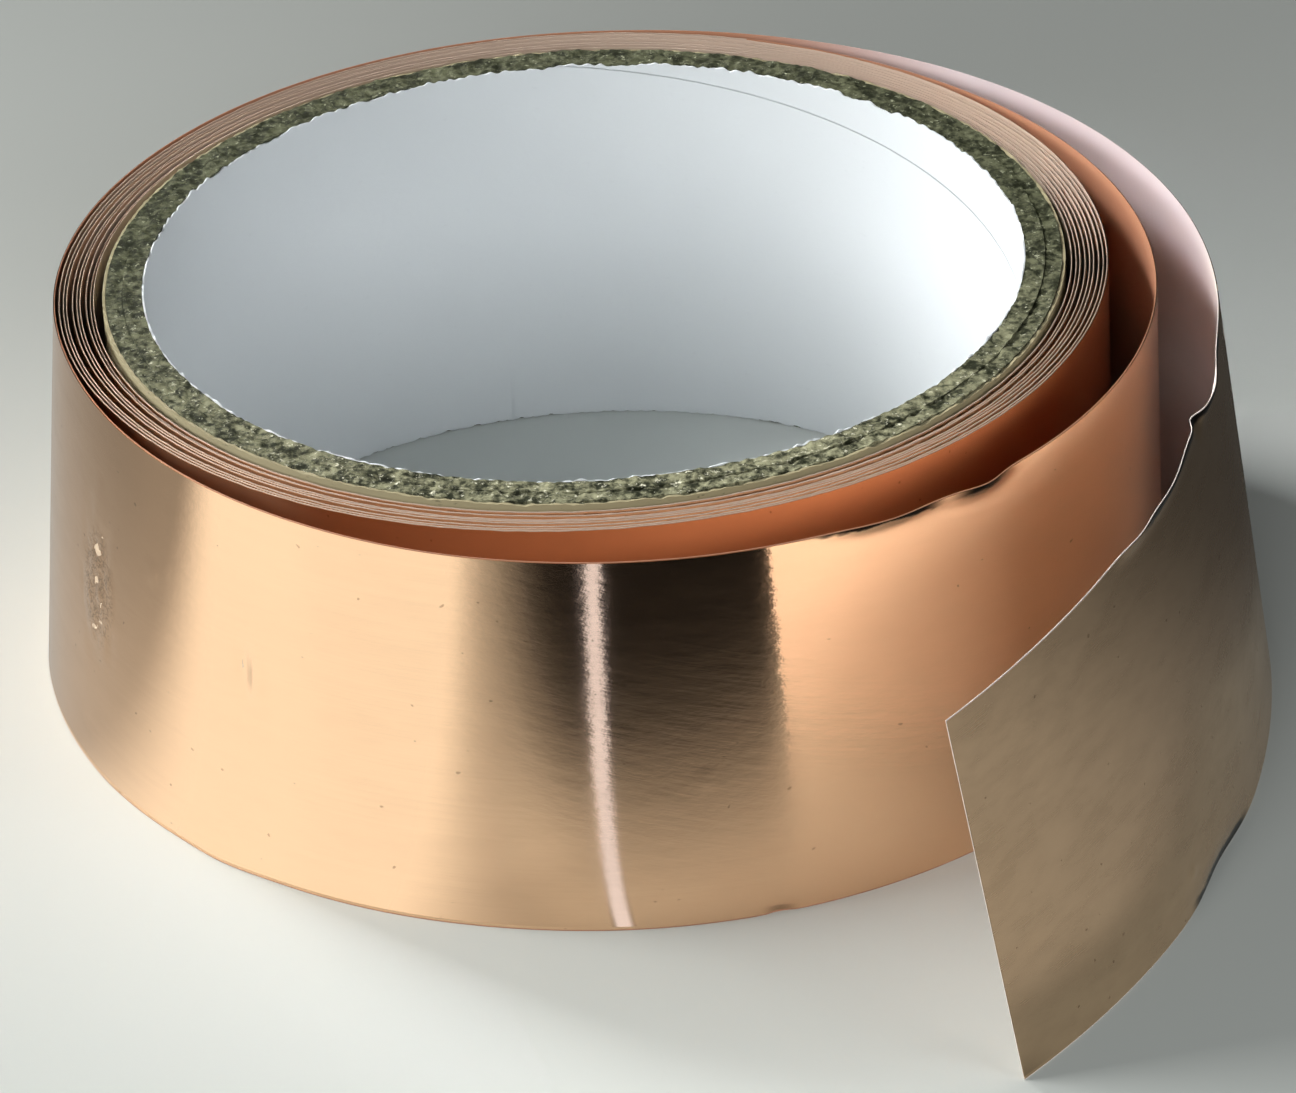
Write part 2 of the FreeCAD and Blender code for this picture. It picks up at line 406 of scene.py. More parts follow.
@dataclass(frozen=True)
class PaperFinish:
    """Plain paper: a base colour with fibres, flecks and a soft or waxy surface."""

    name: str
    colour: Colour
    fleck_colour: Colour
    flecks: float = 0.3
    roughness: float = 0.7
    grain: float = 0.02
    seam: float = 0.0

    def make(self) -> bpy.types.Material:
        """Builds the material.

        Returns:
            The paper, with its pattern fixed to the object.
        """
        graph = Graph(self.name)
        place = graph.object_place()
        fibres = graph.noise(place, (900.0, 900.0, 2200.0), 4.0, 0.65)
        clouds = graph.noise(place, (60.0, 60.0, 60.0), 2.0)
        marks = fibres.between(0.62, 0.74) * self.flecks + clouds.between(0.45, 0.75) * 0.12
        graph.set(
            Base_Color=graph.mix(marks.clipped(), self.colour, self.fleck_colour),
            Roughness=fibres * 0.15 + (self.roughness - 0.07),
        )
        lap = graph.bump(self._lap(graph, place), self.seam)
        graph.set(Normal=graph.bump(fibres, self.grain * MM, lap))
        return graph.material

    @staticmethod
    def _lap(graph: Graph, place: Socket) -> Val:
        """The step where a spiral-wound ply laps itself.

        Args:
            graph: The material's graph.
            place: The place in the model's frame.

        Returns:
            0 below the lap, 1 above it.
        """
        angle = graph.part_of(place, "Y").maths("ARCTAN2", graph.part_of(place, "X"))
        climb = graph.part_of(place, "Z") - angle * (4.6 * MM) - 28.4 * MM
        return climb.between(-0.1 * MM, 0.1 * MM)


@dataclass(frozen=True)
class LinerFinish:
    """Siliconised release paper: smooth, faintly lilac and half glossy. It is one paper; along the run
    its colour is painted light on the free end, which is paler, and painted shade with a painted copper
    reflection deep in the gap, which is dark copper-brown.
    """

    name: str
    colour: Colour = (0.68, 0.59, 0.61)
    shade_colour: Colour = (0.58, 0.49, 0.5)
    free_end_painted_light: Colour = (0.92, 0.82, 0.76)
    free_to: float = 84.0 * MM
    free_fade: float = 12.0 * MM
    inner_fade: float = 30.0 * MM
    inner_shade_colour: Colour = (0.46, 0.22, 0.13)
    inner_from: float = 0.1
    roughness: float = 0.38

    def make(self) -> bpy.types.Material:
        """Builds the material.

        Returns:
            The liner.
        """
        graph = Graph(self.name)
        place = graph.strip_place()
        clouds = graph.noise(place, (45.0, 80.0, 1.0), 3.0)
        fibres = graph.noise(place, (900.0, 1400.0, 1.0), 3.0, 0.6)
        run = graph.part_of(place, "X")
        # Painted light: the free end's liner is paler.
        free = run.between(self.free_to, self.free_to - self.free_fade)
        plain = graph.mix(free, self.colour, self.free_end_painted_light)
        shade = clouds.between(0.35, 0.7) * (free * -0.45 + 0.6)
        outer = graph.mix(shade, plain, self.shade_colour)
        # Painted shade with a painted copper reflection: the liner turns dark copper-brown deep in the
        # gap.
        inner = run.between(self.inner_from, self.inner_from + self.inner_fade)
        graph.set(
            Base_Color=graph.mix(inner, outer, self.inner_shade_colour),
            Roughness=fibres * 0.12 + self.roughness - 0.06,
            Normal=graph.bump(clouds * 0.8 + fibres * 0.2, 0.03 * MM),
        )
        return graph.material


@dataclass(frozen=True)
class AdhesiveFinish:
    """Clear acrylic adhesive, seen only at its edge and under a peeled liner."""

    name: str
    colour: Colour = (0.5, 0.36, 0.24)

    def make(self) -> bpy.types.Material:
        """Builds the material.

        Returns:
            The adhesive.
        """
        graph = Graph(self.name)
        place = graph.strip_place()
        ripples = graph.noise(place, (300.0, 500.0, 1.0), 3.0)
        graph.set(
            Base_Color=graph.mix(ripples, self.colour, (0.62, 0.47, 0.33)),
            Roughness=ripples * 0.2 + 0.12,
            Normal=graph.bump(ripples, 0.02 * MM),
        )
        return graph.material


@dataclass(frozen=True)
class BoardFinish:
    """Grey chipboard, rough and speckled where it is cut across at the core's ends, with painted light
    making its front paler than its back.
    """

    name: str
    dark: Colour = (0.016, 0.018, 0.009)
    middle: Colour = (0.1, 0.105, 0.06)
    lit_front_middle: Colour = (0.27, 0.265, 0.165)
    pale: Colour = (0.3, 0.31, 0.21)
    lit_front_pale: Colour = (0.72, 0.7, 0.54)

    def make(self) -> bpy.types.Material:
        """Builds the material.

        Returns:
            The board.
        """
        graph = Graph(self.name)
        place = graph.object_place()
        fibres = graph.noise(place, (1500.0, 1500.0, 1500.0), 4.0, 0.7)
        lumps = graph.noise(place, (520.0, 520.0, 520.0), 3.0, 0.6)
        tone = (fibres * 0.6 + lumps * 0.4).between(0.4, 0.62)
        # Painted light: the board's front is paler than its back.
        wear_and_painted_light = graph.part_of(place, "Y").between(0.01, -0.045)
        middle = graph.mix(wear_and_painted_light, self.middle, self.lit_front_middle)
        body = graph.mix(tone, self.dark, middle)
        bright = graph.noise(place, (2000.0, 2000.0, 2000.0), 3.0, 0.7).between(0.58, 0.73)
        graph.set(
            Base_Color=graph.mix(bright, body, graph.mix(wear_and_painted_light, self.pale, self.lit_front_pale)),
            Roughness=0.9,
            Normal=graph.bump(fibres, 0.12 * MM),
        )
        return graph.material


@dataclass(frozen=True)
class TabFinish:
    """Double-sided tape: a woven scrim under a tacky cream film."""

    name: str = "start_tab_finish"
    colour: Colour = (0.78, 0.75, 0.66)
    thread_colour: Colour = (0.62, 0.58, 0.47)
    threads: float = 4200.0

    def make(self) -> bpy.types.Material:
        """Builds the material.

        Returns:
            The tab's tape.
        """
        graph = Graph(self.name)
        place = graph.object_place()
        across = (graph.part_of(place, "Y") * self.threads).maths("SINE")
        upward = (graph.part_of(place, "Z") * self.threads).maths("SINE")
        weave = (across * upward) * 0.5 + 0.5
        film = graph.noise(place, (500.0, 500.0, 500.0), 3.0)
        graph.set(
            Base_Color=graph.mix(weave * 0.6 + film * 0.3, self.colour, self.thread_colour),
            Roughness=film * 0.2 + 0.3,
            Normal=graph.bump(weave * 0.7 + film * 0.3, 0.02 * MM),
        )
        return graph.material


@dataclass(frozen=True)
class FloorFinish:
    """The plain pale surface that the roll stands on."""

    name: str = "floor_finish"
    colour: Colour = (0.62, 0.645, 0.62)

    def make(self) -> bpy.types.Material:
        """Builds the material.

        Returns:
            The floor's surface.
        """
        graph = Graph(self.name)
        place = graph.object_place()
        clouds = graph.noise(place, (6.0, 6.0, 6.0), 2.0)
        graph.set(
            Base_Color=graph.mix(clouds * 0.3, self.colour, (0.58, 0.61, 0.585)),
            Roughness=0.9,
            Specular_IOR_Level=0.0,
        )
        return graph.material


@dataclass(frozen=True)
class PaintedReflectionFinish:
    """What only reflections see on the floor.

    It is a glowing white card, a near-black one between two slanting edges and a thin glowing line:
    painted reflections and a painted highlight for the copper. A distance is in metres from the core's
    axis. Away is towards the front, and aside is to the right.
    """

    name: str = "painted_reflection_finish"
    white: float = 1.0
    left_white: float = 0.24
    dark_from: float = 0.052
    dark_at: float = 0.09
    edge_away: float = 0.05
    edge_aside: float = 0.015
    widening: float = 0.66
    left_away: float = 0.024
    right_aside: float = 0.066
    right_white: float = 0.34
    highlight_line_colour: Colour = (0.8, 0.92, 1.2)
    glow_strength: float = 1.15

    def make(self) -> bpy.types.Material:
        """Builds the material.

        Returns:
            The glow of the cards and the painted highlight line, clear where the real floor shows.
        """
        graph = Graph(self.name)
        place = graph.object_place()
        away = graph.part_of(place, "Y") * -1.0
        aside = graph.part_of(place, "X")
        # Painted reflections for the copper: glowing white cards, a near-black card in front and a thin
        # glowing line, seen only by reflections.
        left_edge = (away - self.edge_away) * self.widening + self.edge_aside + aside
        right_edge = (away - self.edge_away) * self.widening + self.edge_aside - aside
        dark_sector = left_edge.between(-0.004, 0.03) * right_edge.between(-0.007, 0.007)
        dark = dark_sector * away.between(self.dark_from, self.dark_at)
        past = (away - 0.02).maths("ABSOLUTE")
        outside = (aside - self.right_aside + past * 0.5).between(0.002, 0.012)
        right = outside * right_edge.between(0.003, -0.007)
        near_right = away.between(-0.02, 0.085) * aside.between(0.17, 0.1)
        right_level = near_right * self.right_white + 0.04
        beyond = left_edge.between(0.016, -0.006)
        nearest, farthest = self.left_away - 9.0 * MM, self.left_away + 9.0 * MM
        front_left = beyond * away.between(nearest, farthest)
        side_left = beyond * away.between(farthest, nearest)
        # Painted highlight: a thin glowing line, which lights nothing, mirrored by the copper as its
        # vertical highlight.
        off_line = (aside + (away - 0.052) * 0.18 - 0.0008).maths("ABSOLUTE")
        half = (away - 0.052) * 0.027 + 0.0008
        lamp = (half - off_line).between(-0.0004, 0.0004)
        left_level = aside.between(-0.11, -0.05) * self.left_white + 0.2
        level = front_left * self.white + side_left * left_level + right * right_level
        card = graph.mix(level.clipped(), (0.004, 0.004, 0.004), (0.97, 1.0, 0.96))
        glow = graph.mix(lamp, card, self.highlight_line_colour)
        cover = (dark + right + front_left + side_left * 0.95).maths("MAXIMUM", lamp)
        graph.set(Base_Color=(0.0, 0.0, 0.0), Specular_IOR_Level=0.0)
        graph.set(Emission_Color=glow, Emission_Strength=self.glow_strength, Alpha=cover.clipped())
        return graph.material


# --- shaping tools -------------------------------------------------------------------------------


def only(piece: bpy.types.Object) -> None:
    """Makes a piece the one that operators act on.

    Args:
        piece: The piece.
    """
    bpy.ops.object.select_all(action="DESELECT")
    piece.select_set(True)
    bpy.context.view_layer.objects.active = piece


def points_of(piece: bpy.types.Object) -> np.ndarray:
    """A mesh's points.

    Args:
        piece: The object that has the mesh.

    Returns:
        One row for each point.
    """
    flat = np.zeros(len(piece.data.vertices) * 3)
    piece.data.vertices.foreach_get("co", flat)
    return flat.reshape(-1, 3)


def set_points(piece: bpy.types.Object, points: np.ndarray) -> None:
    """Moves a mesh's points."""
    piece.data.vertices.foreach_set("co", points.ravel())
    piece.data.update()


def smooth(piece: bpy.types.Object, sharper_than: float = 40.0) -> None:
    """Shades a piece smooth, apart from edges that turn by more than an angle in degrees."""
    only(piece)
    bpy.ops.object.shade_smooth_by_angle(angle=math.radians(sharper_than))


def wobble(places: np.ndarray, seed: float) -> np.ndarray:
    """Smooth noise from about -1 to 1 at each row of places."""
    lifted = places + np.array([seed, 2.7 * seed, -1.3 * seed])
    return np.array([noise.noise(Vector(row)) for row in lifted])


def dress(piece: bpy.types.Object, material: bpy.types.Material) -> None:
    """Gives a piece its finish.

    Args:
        piece: The piece.
        material: Its finish.
    """
    piece.data.materials.clear()
    piece.data.materials.append(material)


def ring_tube(name: str, loops: list[tuple[float, float]], around: int) -> bpy.types.Object:
    """Models a tube from one circle, pulled by extrusions through a closed row of loops.

    Args:
        name: The new object's name.
        loops: Each loop's radius and height. The last one meets the first.
        around: Points in each loop.

    Returns:
        The closed tube, its faces outwards.
    """
    bpy.ops.object.select_all(action="DESELECT")
    radius, height = loops[0]
    bpy.ops.mesh.primitive_circle_add(vertices=around, radius=radius, location=(0, 0, height))
    piece = bpy.context.active_object
    piece.name = name
    bpy.ops.object.mode_set(mode="EDIT")
    bpy.ops.mesh.select_all(action="SELECT")
    for next_radius, next_height in loops[1:]:
        rise = {"value": (0, 0, next_height - height)}
        bpy.ops.mesh.extrude_region_move(TRANSFORM_OT_translate=rise)
        share = next_radius / radius
        bpy.ops.transform.resize(value=(share, share, 1), center_override=(0, 0, next_height))
        radius, height = next_radius, next_height
    bpy.ops.mesh.select_all(action="SELECT")
    bpy.ops.mesh.remove_doubles(threshold=0.005 * MM)
    bpy.ops.mesh.normals_make_consistent(inside=False)
    bpy.ops.object.mode_set(mode="OBJECT")
    only(piece)
    bpy.ops.object.transform_apply(location=True, rotation=True, scale=True)
    return piece


# --- the core ------------------------------------------------------------------------------------


class PlyKind(Enum):
    """The plies of the core, by the node that each one stands for."""

    LINING = "core_lining_ply"
    INNER_BOARD = "core_board_ply_inner"
    OUTER_BOARD = "core_board_ply_outer"
    WRAP = "core_wrap_ply"


@dataclass
class Ply:
    """One ply of the core, as a tube whose cut ends are rough."""

    kind: PlyKind
    end_roughness: float
    rim_rows: int
    slot: str
    wall: float
    shortfall: float = 0.0
    inset: float = 0.0
    around: int = 1440
    wall_rows: int = 6

    def model(self) -> bpy.types.Object:
        """Models the tube in its node's own room and roughens its ends.

        Returns:
            The ply.
        """
        low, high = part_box(self.kind.value)
        high.z -= self.shortfall
        outer = high.x - self.inset
        inner = outer - self.wall
        rims = np.linspace(0.0, 1.0, self.rim_rows + 1)
        walls = np.linspace(low.z, high.z, self.wall_rows + 1)
        loops = [(inner, height) for height in walls]
        loops += [(inner + (outer - inner) * share, high.z) for share in rims[1:]]
        loops += [(outer, height) for height in walls[::-1][1:]]
        loops += [(outer + (inner - outer) * share, low.z) for share in rims[1:]]
        piece = ring_tube(f"{self.kind.value}_look", loops, self.around)
        self._roughen(piece, low.z, high.z)
        smooth(piece, 50.0)
        return piece

    def _roughen(self, piece: bpy.types.Object, low: float, high: float) -> None:
        """Pushes the ends' points in and out along the axis, like torn fibres.

        Args:
            piece: The tube.
            low: Its lowest height.
            high: Its highest height.
        """
        points = points_of(piece)
        seed = float(list(PlyKind).index(self.kind))
        coarse = wobble(points * 420.0, 3.0 + seed)
        fine = wobble(points * 1500.0, 11.0 + seed)
        rough = (0.45 * coarse + 0.55 * fine) * self.end_roughness
        at_top = points[:, 2] > high - 0.01 * MM
        at_foot = points[:, 2] < low + 0.01 * MM
        points[at_top, 2] += rough[at_top] - 0.3 * self.end_roughness
        points[at_foot, 2] += np.abs(rough[at_foot])
        set_points(piece, points)


@dataclass
class Core:
    """The paper core: lining, two boards and a wrap."""

    nodes: dict[str, bpy.types.Object]
    body: str = "roll"

    def build(self) -> list[bpy.types.Object]:
        """Models, dresses and mounts every ply, and dresses the tab that starts the tape.

        Returns:
            The plies.
        """
        white = PaperFinish(
            "white_lining_finish", (0.6, 0.625, 0.645), (0.5, 0.52, 0.54), 0.2, 0.62, 0.02, 0.12 * MM
        ).make()
        board = BoardFinish("grey_board_finish").make()
        cream = PaperFinish(
            "cream_wrap_finish", (0.32, 0.28, 0.17), (0.1, 0.09, 0.05), 0.8, 0.75
        ).make()
        lining = Ply(PlyKind.LINING, 0.5 * MM, 2, "white_lining", 0.14 * MM, 0.1 * MM, 0.26 * MM)
        inner = Ply(PlyKind.INNER_BOARD, 0.3 * MM, 8, "grey_board", 1.7 * MM, 0.15 * MM)
        outer = Ply(PlyKind.OUTER_BOARD, 0.3 * MM, 8, "grey_board", 1.4 * MM, 0.3 * MM)
        wrap = Ply(PlyKind.WRAP, 0.25 * MM, 2, "cream_wrap", 0.25 * MM, 0.45 * MM)
        made = []
        for ply, material in ((lining, white), (inner, board), (outer, board), (wrap, cream)):
            piece = ply.model()
            dress(piece, material)
            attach(piece, self.body)
            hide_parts(ply.kind.value)
            made.append(piece)
        for slot in self.nodes["core_start_tab"].material_slots:
            slot.material = TabFinish().make()
        return made


# --- the strip -----------------------------------------------------------------------------------


def bump_at(angles: np.ndarray, centre: float, rise: float, fall: float) -> np.ndarray:
    """A smooth bump of height 1 at an angle, with its own reach on each side.

    Args:
        angles: Where the bump is read, in degrees.
        centre: The angle of its top.
        rise: Its reach below the centre.
        fall: Its reach above the centre.

    Returns:
        The bump's height at each angle.
    """
    away = angles - centre
    share = np.clip(np.abs(away) / np.where(away > 0, fall, rise), 0.0, 1.0)
    return np.cos(math.pi / 2 * share) ** 2


@dataclass
class StripPath:
    """Where the tape runs. Angles are in degrees and grow inwards along the strip."""

    first_radius: float = 42.23 * MM
    pitch: float = 0.39 * MM
    pack_start_angle: float = 3670.0
    pack_end_angle: float = 430.0
    width: float = 35.0 * MM
    bulge_height: float = 6.1 * MM
    bulge_angle: float = 300.0
    bulge_rise: float = 112.0
    bulge_fall: float = 125.0
    flare_height: float = 3.0 * MM
    flare_angle: float = 185.0
    flare_rise: float = 100.0
    flare_fall: float = 120.0
    tail_angle: float = -15.0
    departure_sweep: float = 100.0
    departure_height: float = 9.6 * MM
    departure_lean: float = 4.3 * MM
    departure_power: float = 1.5
    tail_length: float = 68.0 * MM
    tail_top_radius: float = 125.0 * MM
    tail_bottom_radius: float = 104.0 * MM
    run_per_degree: float = 0.85 * MM
    cut_skew: float = 2.6 * MM
    group_turns: float = 3.0
    grouping: float = 0.085 * MM
    telescoping: float = 0.1 * MM

    def angle_of(self, run: np.ndarray) -> np.ndarray:
        """The angle at a run that lies on the roll."""
        return self.tail_angle + (run - self.tail_length) / self.run_per_degree

    def run_of(self, angle: float) -> float:
        """The run at an angle."""
        return self.tail_length + (angle - self.tail_angle) * self.run_per_degree

    def roll_radius(self, angle: np.ndarray, height: np.ndarray) -> np.ndarray:
        """The copper face's radius on the roll, tight and loose turns alike.

        Args:
            angle: The angle of each point.
            height: The height of each point.

        Returns:
            The radius of each point.
        """
        turns = (self.pack_start_angle - angle) / 360.0
        radius = self.first_radius + self.pitch * turns
        bulge = bump_at(angle, self.bulge_angle, self.bulge_rise, self.bulge_fall)
        radius = radius + self.bulge_height * bulge
        left = np.clip(self.tail_angle + self.departure_sweep - angle, 0.0, None)
        away = (left / self.departure_sweep) ** self.departure_power
        flare = bump_at(angle, self.flare_angle, self.flare_rise, self.flare_fall)
        lean = self.flare_height * flare + self.departure_lean * away
        radius = radius + self.departure_height * away + lean * (1 - height / self.width)
        side = 0.35 + 0.65 * np.cos(np.radians(angle - 195.0) / 2) ** 2
        wound = np.clip((angle - self.pack_end_angle) / 60.0, 0.0, 1.0)
        return radius + wound * side * self.grouping * np.sin(2 * math.pi * turns / self.group_turns)

    def on_roll(self, run: np.ndarray, height: np.ndarray, depth: float) -> np.ndarray:
        """Points of the turns.

        Args:
            run: The run of each point.
            height: The height of each point.
            depth: Depth behind the copper face.

        Returns:
            One row for each point.
        """
        angle = self.angle_of(run)
        radius = self.roll_radius(angle, height) - depth
        turn = np.radians(angle)
        slip = self.telescoping * np.sin(turn * 0.83) * np.sin(turn * 0.29 + 1.0)
        slip = slip * np.clip((angle - self.pack_end_angle) / 60.0, 0.0, 1.0)
        return np.stack([radius * np.cos(turn), radius * np.sin(turn), height + slip], axis=1)

    def _edge(
        self, distance: np.ndarray, height: float, radius: float, depth: float
    ) -> np.ndarray:
        """Points of the arc that one edge of the free end follows.

        Args:
            distance: How far each point is from the roll, along the strip.
            height: The edge's height.
            radius: The arc's radius.
            depth: Depth behind the copper face.

        Returns:
            One row for each point.
        """
        runs = np.array([self.tail_length, self.tail_length + 0.5 * self.run_per_degree])
        start, before = self.on_roll(runs, np.full(2, height), 0.0)
        heading = (start - before) / np.linalg.norm(start - before)
        inward = np.array([heading[1], -heading[0], 0.0])
        turned = (distance / radius)[:, None]
        across = inward * (radius - (radius - depth) * np.cos(turned))
        return start + across + heading * ((radius - depth) * np.sin(turned))

    def on_tail(self, run: np.ndarray, height: np.ndarray, depth: float) -> np.ndarray:
        """Points of the free end, between its lower and upper edge.

        Args:
            run: The run of each point.
            height: The height of each point.
            depth: Depth behind the copper face.

        Returns:
            One row for each point.
        """
        distance = self.tail_length - run
        low = self._edge(distance, 0.0, self.tail_bottom_radius, depth)
        high = self._edge(distance, self.width, self.tail_top_radius, depth)
        return low + (high - low) * (height / self.width)[:, None]

    def points(self, run: np.ndarray, height: np.ndarray, depth: float) -> np.ndarray:
        """Points anywhere on the strip.

        Args:
            run: Distance from the cut end of each point.
            height: Height of each point.
            depth: Depth behind the copper face.

        Returns:
            One row for each point.
        """
        skew = self.cut_skew * np.clip(1 - run / self.tail_length, 0.0, 1.0)
        run = run - skew * (height / self.width)
        tail = (run < self.tail_length)[:, None]
        return np.where(tail, self.on_tail(run, height, depth), self.on_roll(run, height, depth))


@dataclass(frozen=True)
class Web:
    """One layer of the tape: its depth behind the copper face, thickness, edges and row count."""

    name: str
    slot: str
    depth: float
    thickness: float
    low: float
    high: float
    rows: int


FOIL = Web("foil", "copper_foil", 0.0, 0.05 * MM, 0.15 * MM, 35.15 * MM, 60)
ADHESIVE = Web("adhesive", "tape_adhesive", 0.06 * MM, 0.02 * MM, 0.3 * MM, 35.0 * MM, 36)
LINER = Web("liner", "release_liner", 0.09 * MM, 0.05 * MM, 0.0, 35.22 * MM, 36)

Shaper = Callable[[np.ndarray, np.ndarray, np.ndarray], np.ndarray]


@dataclass
class StripLength:
    """A length of one web, laid along the path from a flat grid and given its thickness."""

    path: StripPath
    web: Web
    start: float
    end: float
    column: float = 0.8 * MM
    rows: int | None = None
    crowding: float = 0.1

    def model(self, name: str, shaper: Shaper | None = None) -> bpy.types.Object:
        """Models the length.

        Args:
            name: The new object's name.
            shaper: Moves the points of the face, given their rows, runs and heights.

        Returns:
            The closed web, with its copper side outwards and the strip's map on it.
        """
        bpy.ops.object.select_all(action="DESELECT")
        columns = max(2, round((self.end - self.start) / self.column))
        rows = self.rows or self.web.rows
        bpy.ops.mesh.primitive_grid_add(x_subdivisions=columns, y_subdivisions=rows, size=1.0)
        piece = bpy.context.active_object
        piece.name = name
        flat = points_of(piece) + 0.5
        run = self.start + (self.end - self.start) * flat[:, 0]
        share = flat[:, 1] - self.crowding * np.sin(2 * math.pi * flat[:, 1])
        height = self.web.low + (self.web.high - self.web.low) * share
        placed = self.path.points(run, height, self.web.depth)
        if shaper is not None:
            placed = shaper(placed, run, height)
        set_points(piece, placed)
        self._map(piece, run, height)
        only(piece)
        wall = piece.modifiers.new("wall", "SOLIDIFY")
        wall.thickness = self.web.thickness
        wall.offset = -1.0
        bpy.ops.object.modifier_apply(modifier=wall.name)
        smooth(piece, 60.0)
        return piece

    @staticmethod
    def _map(piece: bpy.types.Object, run: np.ndarray, height: np.ndarray) -> None:
        """Writes each corner's run and height into the strip's map.

        Args:
            piece: The flat grid.
            run: The run of each of its points.
            height: The height of each of its points.
        """
        layer = piece.data.uv_layers.active
        layer.name = STRIP_MAP
        corners = np.zeros(len(piece.data.loops), dtype=np.int64)
        piece.data.loops.foreach_get("vertex_index", corners)
        layer.data.foreach_set("uv", np.stack([run[corners], height[corners]], axis=1).ravel())


@dataclass(frozen=True)
class Dent:
    """A soft dent in the foil: its place on the strip, its reach along and up, and its depth."""

    run: float
    height: float
    along: float
    up: float
    depth: float

    def push(self, run: np.ndarray, height: np.ndarray) -> np.ndarray:
        """How far each point goes in."""
        far = ((run - self.run) / self.along) ** 2 + ((height - self.height) / self.up) ** 2
        return self.depth * np.exp(-far)


@dataclass
class Tape:
    """The whole tape: tight windings, loose turns, free end and the liner's peeling flap."""

    path: StripPath
    body: str = "roll"
    loose_to: float = 4.0
    root_hinge: float = 67.65 * MM
    mid_hinge: float = 44.65 * MM
    tip_hinge: float = 22.15 * MM
    peel_hinge: float = 13.65 * MM
    blend_reach: float = 4.0 * MM
    peel_reach: float = 1.6 * MM

    def build(self) -> list[bpy.types.Object]:
        """Models and dresses every web of every stretch, and mounts the windings and the loose turns.

        Returns:
            The pieces, from the core outwards.
        """
        finishes = {
            FOIL.name: CopperFinish("copper_finish").make(),
            ADHESIVE.name: AdhesiveFinish("adhesive_finish").make(),
            LINER.name: LinerFinish("liner_finish", inner_from=self.path.run_of(40.0)).make(),
        }
        # The wound pack's liner is darker and browner than the paper all through: painted shade between
        # the copper turns.
        packed = LinerFinish("packed_liner_finish", inner_shade_colour=(0.52, 0.4, 0.32)).make()
        dull = CopperFinish("free_end_copper_finish", brushing=0.0).make()
        made = []
        for web in (FOIL, ADHESIVE, LINER):
            made.append(self._wound(web, packed if web is LINER else finishes[web.name]))
            made.append(self._loose(web, finishes[web.name]))
            tail_finish = dull if web is FOIL else finishes[web.name]
            made += self._tail(web, tail_finish)
        return made

    def _face(self, run: np.ndarray, height: np.ndarray) -> np.ndarray:
        """The copper face's own outward direction at each place, level with the floor.

        Args:
            run: The run of each place.
            height: The height of each place.

        Returns:
            One direction for each place.
        """
        step = 0.2 * MM
        ahead = self.path.points(run + step, height, 0.0)
        behind = self.path.points(run - step, height, 0.0)
        along = ahead - behind
        outward = np.stack([along[:, 1], -along[:, 0], np.zeros(len(run))], axis=1)
        return outward / np.linalg.norm(outward, axis=1)[:, None]

    def _uneven(self, placed: np.ndarray, run: np.ndarray, height: np.ndarray) -> np.ndarray:
        """Gives the loose strip its dents, crinkles and slight waves.

        Args:
            placed: The points, one row each.
            run: Their runs.
            height: Their heights.

        Returns:
            The moved points.
        """
        push = sum(dent.push(run, height) for dent in self._dents())
        patch = Dent(256.0 * MM, 18.0 * MM, 2.8 * MM, 6.0 * MM, 1.0).push(run, height)
        places = np.stack([run, height, np.zeros(len(run))], axis=1)
        crinkle = wobble(places * 700.0, 5.0) * 0.4 * MM * patch
        waves = wobble(places * np.array([60.0, 25.0, 1.0]), 8.0) * 0.12 * MM
        return placed - self._face(run, height) * (push + crinkle + waves)[:, None]

    def _ragged(self, placed: np.ndarray, run: np.ndarray, height: np.ndarray) -> np.ndarray:
        """Makes the edges of the tight windings slightly uneven.

        Args:
            placed: The points, one row each.
            run: Their runs.
            height: Their heights.

        Returns:
            The moved points.
        """
        packed_run = run - self.path.run_of(self.path.pack_end_angle)
        turn = np.floor(packed_run / (360.0 * self.path.run_per_degree))
        jolts = wobble(np.stack([run * 900.0, turn, height * 40.0], axis=1), 2.0)
        slips = np.sin(turn * 2.4 + 0.7) * 0.05 * MM - 0.05 * MM
        upper = height > 20.0 * MM
        placed[:, 2] += np.where(upper, slips + jolts * 0.05 * MM, np.abs(jolts) * 0.05 * MM)
        return placed

    def _dents(self) -> list[Dent]:
        """The dents of the loose turn and the free end.

        Returns:
            The dents. A negative depth is outwards.
        """
        places = [
            # run, height, reach along, reach up and depth, in millimetres
            (278.0, 19.5, 0.7, 2.4, 0.3),
            (279.6, 18.5, 0.6, 1.8, -0.16),
            (266.3, 24.0, 0.5, 0.4, -0.12),
            (268.0, 24.6, 0.4, 0.3, -0.1),
            (318.0, 14.0, 0.35, 0.35, -0.07),
            (312.0, 20.5, 0.3, 0.3, 0.05),
            (323.5, 0.3, 0.9, 0.5, 0.4),
            (275.0, 0.4, 4.0, 1.3, -0.3),
            (343.0, 35.2, 2.2, 0.8, -0.7),
            (334.0, 35.2, 3.4, 0.6, -0.45),
            (4.0, 11.8, 1.8, 0.5, 0.16),
            (4.6, 10.9, 1.6, 0.45, -0.14),
            (56.0, 35.2, 5.0, 1.1, -0.8),
            (51.0, 35.2, 1.3, 1.3, 0.7),
            (40.0, 35.2, 6.0, 0.9, -0.6),
            (32.0, 35.2, 3.0, 0.7, -0.4),
            (37.0, 0.1, 6.0, 1.5, 0.6),
            (30.0, 3.4, 0.7, 0.4, -0.12),
        ]
        return [Dent(*(size * MM for size in place)) for place in places]

